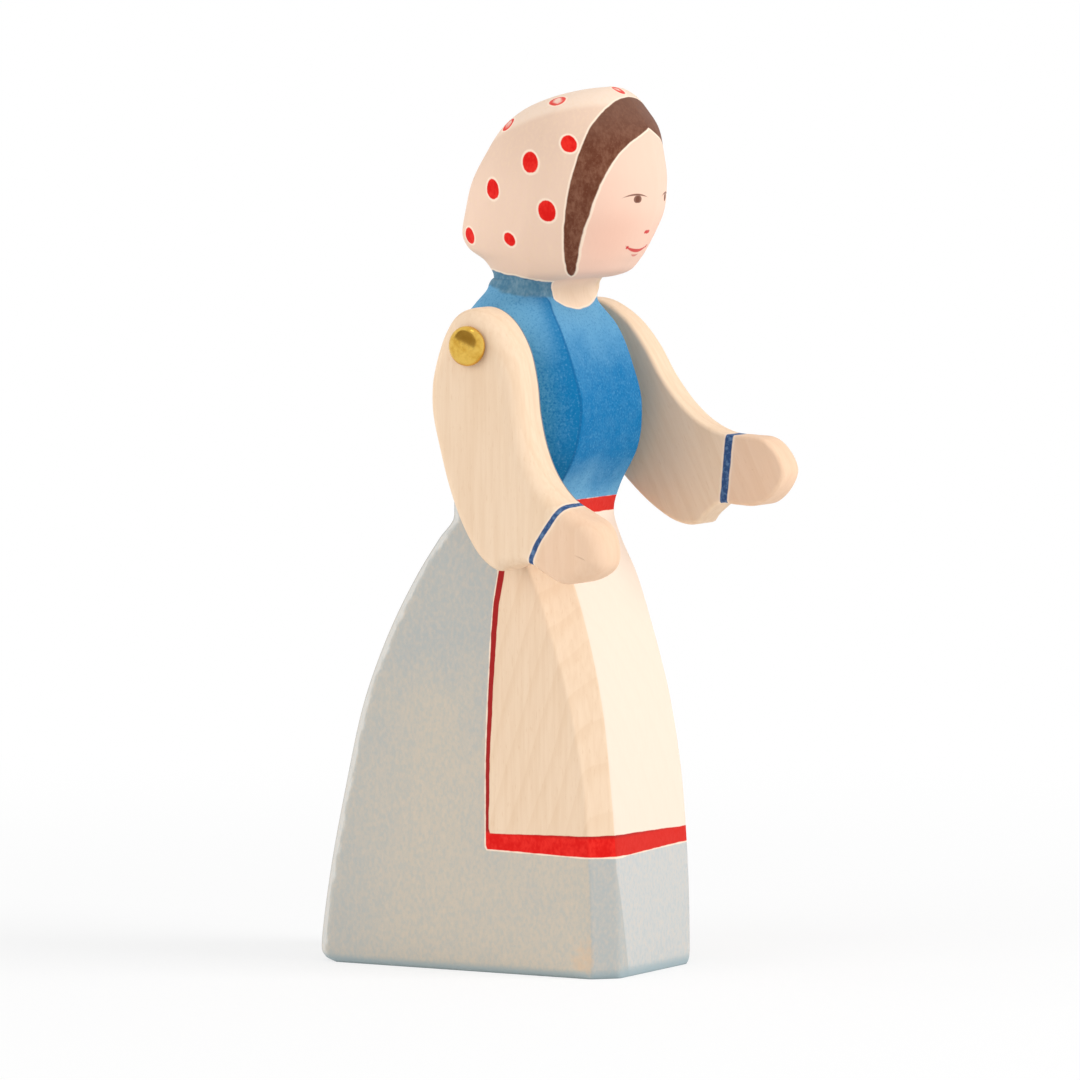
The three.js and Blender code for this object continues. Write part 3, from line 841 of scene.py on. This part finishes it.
def stained_maple():
    """Carved maple painted with thin water stains: the grain and some pale wood show through the matt
    colours, and the painter's edges waver, with a hair of bare wood left beside some of them."""
    material, tree = new_material("stained_maple")
    place = object_mm(tree)
    wood, fibres = maple(tree, place, BODY_PITH, BODY_SLANT)
    cloud = lumps(tree, place, STAIN_CLOUD, 2)
    grit = lumps(tree, place, STAIN_GRIT, 3, GRIT_STRETCH)
    blotch = lumps(tree, place, STAIN_BLOTCH, 2)
    depth = add(tree, "ShaderNodeMath", {0: blotch, 1: grit}, operation="ADD")[0]
    specks = lumps(tree, place, STAIN_SPECK, 2)
    unsteady = lumps(tree, place, EDGE_WAVER, 3)
    wobble = add(tree, "ShaderNodeMath", {0: unsteady, 1: NOISE_MIDDLE}, operation="SUBTRACT")[0]
    axes = add(tree, "ShaderNodeSeparateXYZ", {0: place})
    height = axes["Z"]
    names = (
        "scarf", "crown", "hair", "face", "dots", "cheek", "bodice", "collar", "belt", "skirt", "worn",
        "apron_outer", "apron_inner", "past_front", "past_side", "past_back",
    )
    values = {name: add(tree, "ShaderNodeAttribute", attribute_name=name)["Fac"] for name in names}

    def painted(below, above, name, waver=0.35, soft=0.07, gap=0.0):
        """One colour over another within an area, up to a gap from its soft and wavering edge."""
        edge = {0: wobble, 1: waver, 2: values[name]}
        edge = add(tree, "ShaderNodeMath", edge, operation="MULTIPLY_ADD")[0]
        return coat(tree, below, above, edge, gap - soft, gap + soft)

    # Skirt: a thin grey, warm on the sides, cooler higher up, on the bevels and towards the back, and
    # paler in front, though near the right foot the bevel's cooler grey reaches onto the front as painted
    # shade of a wider bevel. It has painted shade in blue-grey along the hem and a painted highlight
    # along the back edges, and it is worn at one corner
    grey = coat(tree, GREY_WARM, GREY_COOL, cloud, 0.45, 0.75, 0.2)
    uneven = {0: cloud, 1: SKIRT_CLOUDING, 2: height}
    uneven = add(tree, "ShaderNodeMath", uneven, operation="MULTIPLY_ADD")[0]
    grey = coat(tree, grey, GREY_COOL, uneven, *SKIRT_COOL, 0.7)
    grey = coat(tree, grey, GREY_COOL, values["past_side"], -0.15, 0.15, 0.8)
    grey = coat(tree, grey, GREY_COOL, axes["Y"], *SKIRT_COOL_Y, 0.5)
    # Painted shade: near the right foot the bevel's grey reaches onto the front, so the bevel looks wider
    above, foot = BEVEL_SHADE_HEIGHTS
    bevel_shade = {"Value": height, "From Min": above, "From Max": foot, "To Max": BEVEL_SHADE_REACH}
    bevel_shade = add(tree, "ShaderNodeMapRange", bevel_shade)[0]
    right_side = add(tree, "ShaderNodeMath", {0: axes["X"], 1: 0.0}, operation="LESS_THAN")[0]
    bevel_shade = {0: bevel_shade, 1: right_side, 2: values["past_front"]}
    bevel_shade = add(tree, "ShaderNodeMath", bevel_shade, operation="MULTIPLY_ADD")[0]
    grey = coat(tree, grey, GREY_FRONT, bevel_shade, 0.12, -0.12, 0.9)
    # Painted highlight along the edges of the back bevels
    back_highlight_edge = {0: wobble, 1: BACK_HIGHLIGHT_WAVER, 2: values["past_back"]}
    back_highlight_edge = add(tree, "ShaderNodeMath", back_highlight_edge, operation="MULTIPLY_ADD")[0]
    edge_highlight_and_shade = coat(tree, grey, GREY_BACK_HIGHLIGHT, back_highlight_edge, -0.2, 0.8, 0.6)
    grey = coat(tree, edge_highlight_and_shade, grey, values["past_back"], BACK_BEVEL - 0.8, BACK_BEVEL - 0.1)
    grey = coat(tree, grey, wood, grit, 0.4, 0.8, 0.22)
    grey = coat(tree, grey, HEM_SHADE_GREY, grit, 0.52, 0.3, 0.2)
    # Painted shade in blue-grey along the rounded hem, reaching a little higher in front
    grey = coat(tree, grey, HEM_SHADE_GREY, height, *HEM_SHADE_HEIGHTS, 0.75)
    front_hem_shade = coat(tree, grey, HEM_SHADE_GREY, height, *FRONT_HEM_SHADE_HEIGHTS, 0.4)
    grey = coat(tree, grey, front_hem_shade, values["past_front"], 1.5, -1)
    smudge = {0: wobble, 1: SPOT_WEAR, 2: values["worn"]}
    smudge = add(tree, "ShaderNodeMath", smudge, operation="MULTIPLY_ADD")[0]
    grey = coat(tree, grey, MAPLE_DARK, smudge, *WORN_REACH, 0.5)
    colour = painted(wood, BARE_LINE, "skirt", gap=-0.1)
    colour = painted(colour, grey, "skirt", gap=0.18)

    # Apron: bare wood inside red lines, paler in front, with a darker red up the sides, and a darker red
    # on the front faces as painted shade against the key lamp's light there
    red = coat(tree, RED_THIN, RED_FULL, depth, 0.7, 1.25)
    # Painted shade: the red is darker on the front faces, against the key lamp's light
    red_with_front_shade = coat(tree, red, RED_FRONT_SHADE, values["past_front"], 0.1, -0.1, 0.8)
    line = coat(tree, red_with_front_shade, RED_LINE, height, *LINE_TURN, 0.9)
    bare = coat(tree, wood, APRON_FRONT, values["past_front"], 0.1, -0.1, 0.8)
    colour = painted(colour, line, "apron_outer", 0.25)
    colour = painted(colour, bare, "apron_inner", 0.25)

    # Head and neck: a chalky scarf with painted shade up its sides and a painted highlight on its top,
    # and warm skin with a blush
    # Painted shade up the scarf's sides, and a painted highlight on its top above the ridge
    chalk = coat(tree, SCARF_CHALK, SCARF_SIDE_SHADE, height, *SCARF_SHADE, 0.7)
    chalk = coat(tree, chalk, SCARF_TOP_HIGHLIGHT, values["crown"], -0.5, 0.6, 0.65)
    chalk = coat(tree, chalk, wood, grit, 0.4, 0.75, 0.35)
    colour = painted(colour, chalk, "scarf")
    skin = coat(tree, wood, BARE_LINE, height, *NECK_PALE, 0.4)
    skin = coat(tree, skin, SKIN, height, *SKIN_FOOT, 0.9)
    skin = coat(tree, skin, BLUSH, values["cheek"], *BLUSH_REACH, 0.2)
    colour = painted(colour, skin, "face")

    # Bodice: mottled blue, greener beside the bust, paler at the top and along the belt, with painted
    # shade on the side of the ridge, fading away from it, and a line of painted shade on the ridge
    blue = coat(tree, BLUE_FULL, BLUE_GREEN, values["past_front"], 1.2, 4.2, 0.45)
    blue = coat(tree, blue, BLUE_THIN, depth, 0.8, 1.4, 0.18)
    blue = coat(tree, blue, BLUE_DEEP, specks, 0.5, 0.3, 0.6)
    upper = {0: cloud, 1: BODICE_CLOUDING, 2: height}
    upper = add(tree, "ShaderNodeMath", upper, operation="MULTIPLY_ADD")[0]
    blue = coat(tree, blue, BLUE_THIN, upper, *BODICE_TOP, 0.7)
    blue = coat(tree, blue, BLUE_THIN, upper, *BODICE_FOOT, 0.75)
    blue = coat(tree, blue, BLUE_FULL, specks, 0.48, 0.3, 0.35)
    # Painted shade on the side facet beside the ridge, and below a line of painted shade on the ridge
    ridge_side_shade = coat(tree, blue, BLUE_FULL, values["past_front"], 2.1, 0.4, 0.75)
    blue = coat(tree, blue, ridge_side_shade, values["past_front"], 0, 0.2)
    blue = coat(tree, blue, BLUE_THIN, specks, 0.52, 0.8, 0.3)
    off_ridge = {0: values["past_front"], 1: RIDGE_SHADE_MIDDLE}
    off_ridge = add(tree, "ShaderNodeMath", off_ridge, operation="SUBTRACT")[0]
    off_ridge = add(tree, "ShaderNodeMath", {0: off_ridge}, operation="ABSOLUTE")[0]
    blue = coat(tree, blue, BLUE_DEEP, off_ridge, *RIDGE_SHADE_LINE, 0.5)
    collar = coat(tree, COLLAR_FULL, COLLAR_THIN, depth, 0.7, 1.5)
    blue = painted(blue, collar, "collar", 1.0, 0.25)
    colour = painted(colour, BARE_LINE, "bodice", 0.5, gap=-0.25)
    colour = painted(colour, blue, "bodice", 0.5, 0.09)
    # Belt in the apron's red, with the same painted shade on the front
    colour = painted(colour, red_with_front_shade, "belt", 0.3)

    # Hair in brown streaks and specks, paler towards the top, and red dots with a thin pale ring, paler
    # towards the top of the head and pale in their middles there, as painted highlight
    streaks = lumps(tree, place, HAIR_STREAK, 3, STREAK_STRETCH)
    hair = coat(tree, HAIR_FULL, HAIR_THIN, depth, 0.8, 1.4)
    hair = coat(tree, hair, HAIR_THIN, streaks, 0.5, 0.75, 0.55)
    # Paler and greyer towards the top
    hair = coat(tree, hair, HAIR_TOP, height, *HAIR_PALER_HEIGHTS, 0.65)
    hair = coat(tree, hair, HAIR_THIN, specks, 0.5, 0.75, 0.6)
    colour = painted(colour, BARE_LINE, "hair", gap=-0.25)
    colour = painted(colour, hair, "hair", 0.3, 0.08)
    colour = painted(colour, BARE_LINE, "dots", 0.3, 0.12, -0.25)
    # Painted highlight: the dots grow paler towards the top of the head, and pale in their middles on top
    dot_red_with_highlight = coat(tree, red, RED_HIGHLIGHT, height, *DOT_HIGHLIGHT_HEIGHTS, 0.2)
    dot_highlight = {0: wobble, 1: DOT_HIGHLIGHT_WAVER, 2: values["dots"]}
    dot_highlight = add(tree, "ShaderNodeMath", dot_highlight, operation="MULTIPLY_ADD")[0]
    dot_highlight = coat(tree, dot_red_with_highlight, SCARF_TOP_HIGHLIGHT, dot_highlight, 0.3, 0.75, 0.8)
    dot_red_with_highlight = coat(tree, dot_red_with_highlight, dot_highlight, height, *DOT_MIDDLE_HIGHLIGHT_HEIGHTS)
    colour = painted(colour, dot_red_with_highlight, "dots", 0.45, 0.08)

    # Face: brown lids and irises, a red mouth and nose, painted the same on both halves. Off the face,
    # places move a board's width away, so that no mark shows there
    mirrored = add(tree, "ShaderNodeVectorMath", {0: place}, operation="ABSOLUTE")[0]
    off_face = add(tree, "ShaderNodeMath", {0: values["face"], 1: FACE_INSET}, operation="LESS_THAN")[0]
    flat = add(tree, "ShaderNodeVectorMath", {0: mirrored, 1: (1, 0, 1)}, operation="MULTIPLY")[0]
    shifted = {0: add(tree, "ShaderNodeCombineXYZ", {1: off_face})[0], 1: (BOARD,) * 3, 2: flat}
    shifted = add(tree, "ShaderNodeVectorMath", shifted, operation="MULTIPLY_ADD")[0]
    marks = [(stroke_circles(*stroke), hue) for stroke, hue in (
        (EYELID, EYE_BROWN), (MOUTH, LIP_RED), (LOWER_LIP, LIP_PALE),
    )]
    marks += [([((x, 0, z), radius)], hue) for (x, z, radius), hue in (
        (IRIS, EYE_BROWN), (IRIS_SIDE, EYE_BROWN), (NOSE_TIP, LIP_RED), (NOSE_SIDE, LIP_RED),
        (MOUTH_CORNER, LIP_RED),
    )]
    for circles, hue in marks:
        outside = face_mark(tree, shifted, circles)
        colour = coat(tree, colour, hue, outside, BRUSH_SOFT, -BRUSH_SOFT, 0.9)
    matt_wood(tree, colour, fibres, grit)
    return material


# Real sizes of the arms' and the nails' patterns in mm: waver of the cuff's edge and how far it shifts
# it, grit of the wood, and scuffs and tarnish of the brass, whose scuffs are drawn coarser than they
# are, so that they show
CUFF_WAVER = 1.8
CUFF_SHIFT = 0.25
ARM_GRIT = 0.5
SCUFF_WIDTH = 0.3
TARNISH_WIDTH = 1.2

# Distances in mm over which the hand turns pink past the cuff, and the bare line beside the cuff fades
PINK_REACH = (0, 1.5)
CUFF_HALO = (0.4, 0.15)

# Surface of the brass: strength and depth in mm of its scuffs, and range of its roughness
SCUFF_STRENGTH = 0.05
SCUFF_DEPTH = 0.05
BRASS_ROUGHNESS = (0.15, 0.26)


def oiled_maple():
    """Sanded and oiled maple, a little pinker on the hands, with a thin blue cuff painted across the
    wrist, and a dark line of painted shade along the inner edge where the arm meets the dress."""
    material, tree = new_material("oiled_maple")
    board = add(tree, "ShaderNodeAttribute", attribute_name="board")["Vector"]
    wood, fibres = maple(tree, board, ARM_PITH, ARM_SLANT)
    names = ("cuff", "cuff_half", "edge_highlight_and_shade")
    values = {name: add(tree, "ShaderNodeAttribute", attribute_name=name)["Fac"] for name in names}
    cuff, half, edge_highlight_and_shade = values.values()
    unsteady = lumps(tree, board, CUFF_WAVER, 2)
    wobble = add(tree, "ShaderNodeMath", {0: unsteady, 1: NOISE_MIDDLE}, operation="SUBTRACT")[0]
    past = add(tree, "ShaderNodeMath", {0: wobble, 1: CUFF_SHIFT, 2: cuff}, operation="MULTIPLY_ADD")[0]
    off = add(tree, "ShaderNodeMath", {0: past}, operation="ABSOLUTE")[0]
    outside = add(tree, "ShaderNodeMath", {0: off, 1: half}, operation="SUBTRACT")[0]
    grit = lumps(tree, board, ARM_GRIT, 2)
    blue = coat(tree, CUFF_FULL, CUFF_THIN, grit, 0.4, 0.7)
    colour = coat(tree, wood, HAND_PINK, cuff, *PINK_REACH, 0.4)
    # Painted shade: a dark line along the inner edge, where the arm meets the dress
    colour = coat(tree, colour, GAP_SHADE_BLUE, edge_highlight_and_shade, BRUSH_SOFT, -BRUSH_SOFT, 0.75)
    colour = coat(tree, colour, BARE_LINE, outside, *CUFF_HALO, 0.6)
    colour = coat(tree, colour, blue, outside, BRUSH_SOFT, -BRUSH_SOFT)
    matt_wood(tree, colour, fibres, grit)
    return material


def polished_brass():
    """Stamped and polished brass: a bright warm mirror with fine scuffs and faint tarnish."""
    material, tree = new_material("polished_brass")
    place = object_mm(tree)
    scuffs = lumps(tree, place, SCUFF_WIDTH, 2)
    tarnish = lumps(tree, place, TARNISH_WIDTH, 3)
    relief = {"Height": scuffs, "Strength": SCUFF_STRENGTH, "Distance": SCUFF_DEPTH * MM}
    ramp = {"Value": scuffs, "From Min": NOISE_LOW, "From Max": NOISE_HIGH}
    ramp |= {"To Min": BRASS_ROUGHNESS[0], "To Max": BRASS_ROUGHNESS[1]}
    surface = add(tree, "ShaderNodeBsdfPrincipled", {
        "Base Color": coat(tree, BRASS_BRIGHT, BRASS_DULL, tarnish, 0.35, 0.75), "Metallic": 1.0,
        "Roughness": add(tree, "ShaderNodeMapRange", ramp)[0],
        "Normal": add(tree, "ShaderNodeBump", relief)[0],
    })
    add(tree, "ShaderNodeOutputMaterial", {"Surface": surface[0]})
    return material


def place_piece(piece, node, body):
    """Puts a finished piece in the place of its node, on a body of the frame."""
    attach(piece, body)
    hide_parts(node)


def build_body():
    """Body in one piece, with its painted areas and its bevels' ridges as attributes."""
    points, quads, fans, ridges = body_surface()
    layout = painted_layout(points) | ridges
    piece = make_piece("painted_body", points, quads, fans, stained_maple(), layout)
    place_piece(piece, "body", "figure")


def build_arms():
    """Arms turned about their pivots beside the body, with their grain and paint on their own boards."""
    wood = oiled_maple()
    for name, side in SIDES:
        board, quads = arm_surface(side)
        turn = math.radians(-ARM_ANGLES[name])
        across, forward, up = board.T
        y = -forward * math.cos(turn) - up * math.sin(turn)
        z = -forward * math.sin(turn) + up * math.cos(turn)
        points = np.stack([side * ARM_MIDDLE + across, PIVOT_Y + y, PIVOT_Z + z], -1)
        cuff = past_cuff(board, CUFFS[name])
        # Where the painted shade of the gap to the dress lies along the arm's inner edge, up to the cuff
        beside = np.abs(ARM_THICKNESS / 2 + side * across - GAP_SHADE_MIDDLE) - GAP_SHADE_HALF[name]
        layout = {
            "board": board, "cuff": cuff, "cuff_half": np.full(len(board), CUFF_HALF[name]),
            "edge_highlight_and_shade": np.maximum(beside, cuff),
        }
        no_fans = np.zeros((0, 3), int)
        piece = make_piece(f"carved_{name}_arm", points, quads, no_fans, wood, layout)
        place_piece(piece, f"{name}_arm", f"{name}_arm")


def build_nails():
    """Nails through the arms' pivots, the right one turned half round."""
    brass = polished_brass()
    points, quads, fans = nail_surface()
    for name, side in SIDES:
        placed = points * (side, side, 1) + (0, PIVOT_Y, PIVOT_Z)
        piece = make_piece(f"brass_{name}_nail", placed, quads, fans, brass, {})
        place_piece(piece, f"{name}_nail", "figure")


# Camera as in the photograph, in degrees and metres, and its sensor in mm
CAMERA_AZIMUTH, CAMERA_ELEVATION = -60.5, 4.5
CAMERA_DISTANCE = 1.4
CAMERA_TARGET = (0.00236, -0.00416, 0.05976)
CAMERA_SIGHT = 20
FRAME_WIDTH = 0.15233
SENSOR = 36.0

# Floor of white paper: its size and colour, the plain white that the eye sees, and the distances from the
# figure between which a share of that white grows to all of it
FLOOR_SIZE = 6.0
PAPER = (0.9, 0.9, 0.9, 1)
WHITE = (1, 1, 1, 1)
SHADOW_START, SHADOW_REACH = 0.03, 0.3
PLAIN_SHARE = 0.7

# Light of the room, and lamps: watts, size, azimuth, elevation, distance, and if they show in the brass
ROOM_LIGHT = 0.57
LAMPS = {
    "key_lamp": (6.0, 0.5, 12, 32, 1.0, False),
    "fill_lamp": (3.6, 0.8, -115, 25, 1.1, False),
    "rim_lamp": (2.5, 0.8, -165, 10, 1.1, False),
    "top_lamp": (0.13, 0.09, -84, 68, 0.8, True),
}

# Dark card for the brass to mirror: its corners, azimuth, elevation and distance
CARD_CORNERS = ((-0.45, 0), (0.42, -0.3), (0.5, 0), (0.2, 0.22), (-0.3, 0.24))
CARD_PLACE = (-114, 26, 0.5)


def place_camera():
    """Camera at the photograph's angle, with a lens that takes in the frame's width at the figure."""
    camera = bpy.data.cameras.new("camera")
    camera.sensor_width = SENSOR
    camera.lens = SENSOR * CAMERA_DISTANCE / FRAME_WIDTH
    camera.clip_end = CAMERA_SIGHT
    holder = put_in_scene("camera", camera)
    holder.location, holder.rotation_euler = directed(CAMERA_AZIMUTH, CAMERA_ELEVATION, CAMERA_DISTANCE)
    bpy.context.scene.camera = holder


def seen_ray(tree):
    """One for rays that the eye sees directly, in metal or through glass."""
    path = add(tree, "ShaderNodeLightPath")
    seen = path["Is Camera Ray"]
    for ray in ("Is Glossy Ray", "Is Transmission Ray"):
        seen = add(tree, "ShaderNodeMath", {0: seen, 1: path[ray]}, operation="MAXIMUM")[0]
    return seen


def directed(azimuth, elevation, distance):
    """Place at a distance from the figure, in a direction in degrees, and the turn that looks at it."""
    turn, lift = math.radians(azimuth), math.radians(elevation)
    back = np.array([math.sin(turn) * math.cos(lift), -math.cos(turn) * math.cos(lift), math.sin(lift)])
    return np.array(CAMERA_TARGET) + distance * back, (math.pi / 2 - lift, 0, turn)


def lay_floor():
    """White paper floor, plain white to the eye but for a share near the figure with its shadow."""
    material, tree = new_material("white_paper")
    paper = add(tree, "ShaderNodeBsdfDiffuse", {"Color": PAPER})[0]
    white = add(tree, "ShaderNodeEmission", {"Color": WHITE, "Strength": 1.0})[0]
    place = add(tree, "ShaderNodeTexCoord")["Object"]
    away = add(tree, "ShaderNodeVectorMath", {0: place}, operation="LENGTH")["Value"]
    plain = {"Value": away, "From Min": SHADOW_START, "From Max": SHADOW_REACH, "To Min": PLAIN_SHARE}
    plain = add(tree, "ShaderNodeMapRange", plain, interpolation_type="SMOOTHSTEP")[0]
    share = add(tree, "ShaderNodeMath", {0: seen_ray(tree), 1: plain}, operation="MULTIPLY")[0]
    mixed = add(tree, "ShaderNodeMixShader", {0: share, 1: paper, 2: white})[0]
    add(tree, "ShaderNodeOutputMaterial", {"Surface": mixed})
    half = FLOOR_SIZE / 2
    mesh = bpy.data.meshes.new("floor")
    corners = [(-half, -half, 0), (half, -half, 0), (half, half, 0), (-half, half, 0)]
    mesh.from_pydata(corners, [], [range(len(corners))])
    mesh.materials.append(material)
    floor = put_in_scene("floor", mesh)


def hang_lamp(name, watts, size, azimuth, elevation, distance, in_brass):
    """Square soft lamp that looks at the figure from a direction, and may show in the brass."""
    lamp = bpy.data.lights.new(name, "AREA")
    lamp.energy = watts
    lamp.size = size
    holder = put_in_scene(name, lamp)
    holder.location, holder.rotation_euler = directed(azimuth, elevation, distance)
    holder.visible_glossy = in_brass


def stand_card(azimuth, elevation, distance):
    """Dark studio card that only shows in the brass, as the dim part of the room does."""
    material, tree = new_material("dark_card")
    matt = add(tree, "ShaderNodeBsdfDiffuse", {"Color": linear(CARD_BROWN)})[0]
    add(tree, "ShaderNodeOutputMaterial", {"Surface": matt})
    mesh = bpy.data.meshes.new("dark_card")
    mesh.from_pydata([(across, up, 0) for across, up in CARD_CORNERS], [], [range(len(CARD_CORNERS))])
    mesh.materials.append(material)
    card = put_in_scene("dark_card", mesh)
    card.location, card.rotation_euler = directed(azimuth, elevation, distance)
    card.visible_camera = card.visible_diffuse = card.visible_shadow = False


def light_world():
    """Even pale light from all round, and plain white where the eye sees it."""
    world = bpy.data.worlds.new("white_room")
    world.use_nodes = True
    tree = world.node_tree
    tree.nodes.clear()
    strength = {"Value": seen_ray(tree), "To Min": ROOM_LIGHT, "To Max": 1.0}
    strength = add(tree, "ShaderNodeMapRange", strength)[0]
    light = add(tree, "ShaderNodeBackground", {"Color": WHITE, "Strength": strength})[0]
    add(tree, "ShaderNodeOutputWorld", {"Surface": light})
    bpy.context.scene.world = world


place_camera()
build_body()
build_arms()
build_nails()
lay_floor()
light_world()
for lamp_name, lamp in LAMPS.items():
    hang_lamp(lamp_name, *lamp)
stand_card(*CARD_PLACE)
bpy.context.scene.view_settings.view_transform = "Standard"
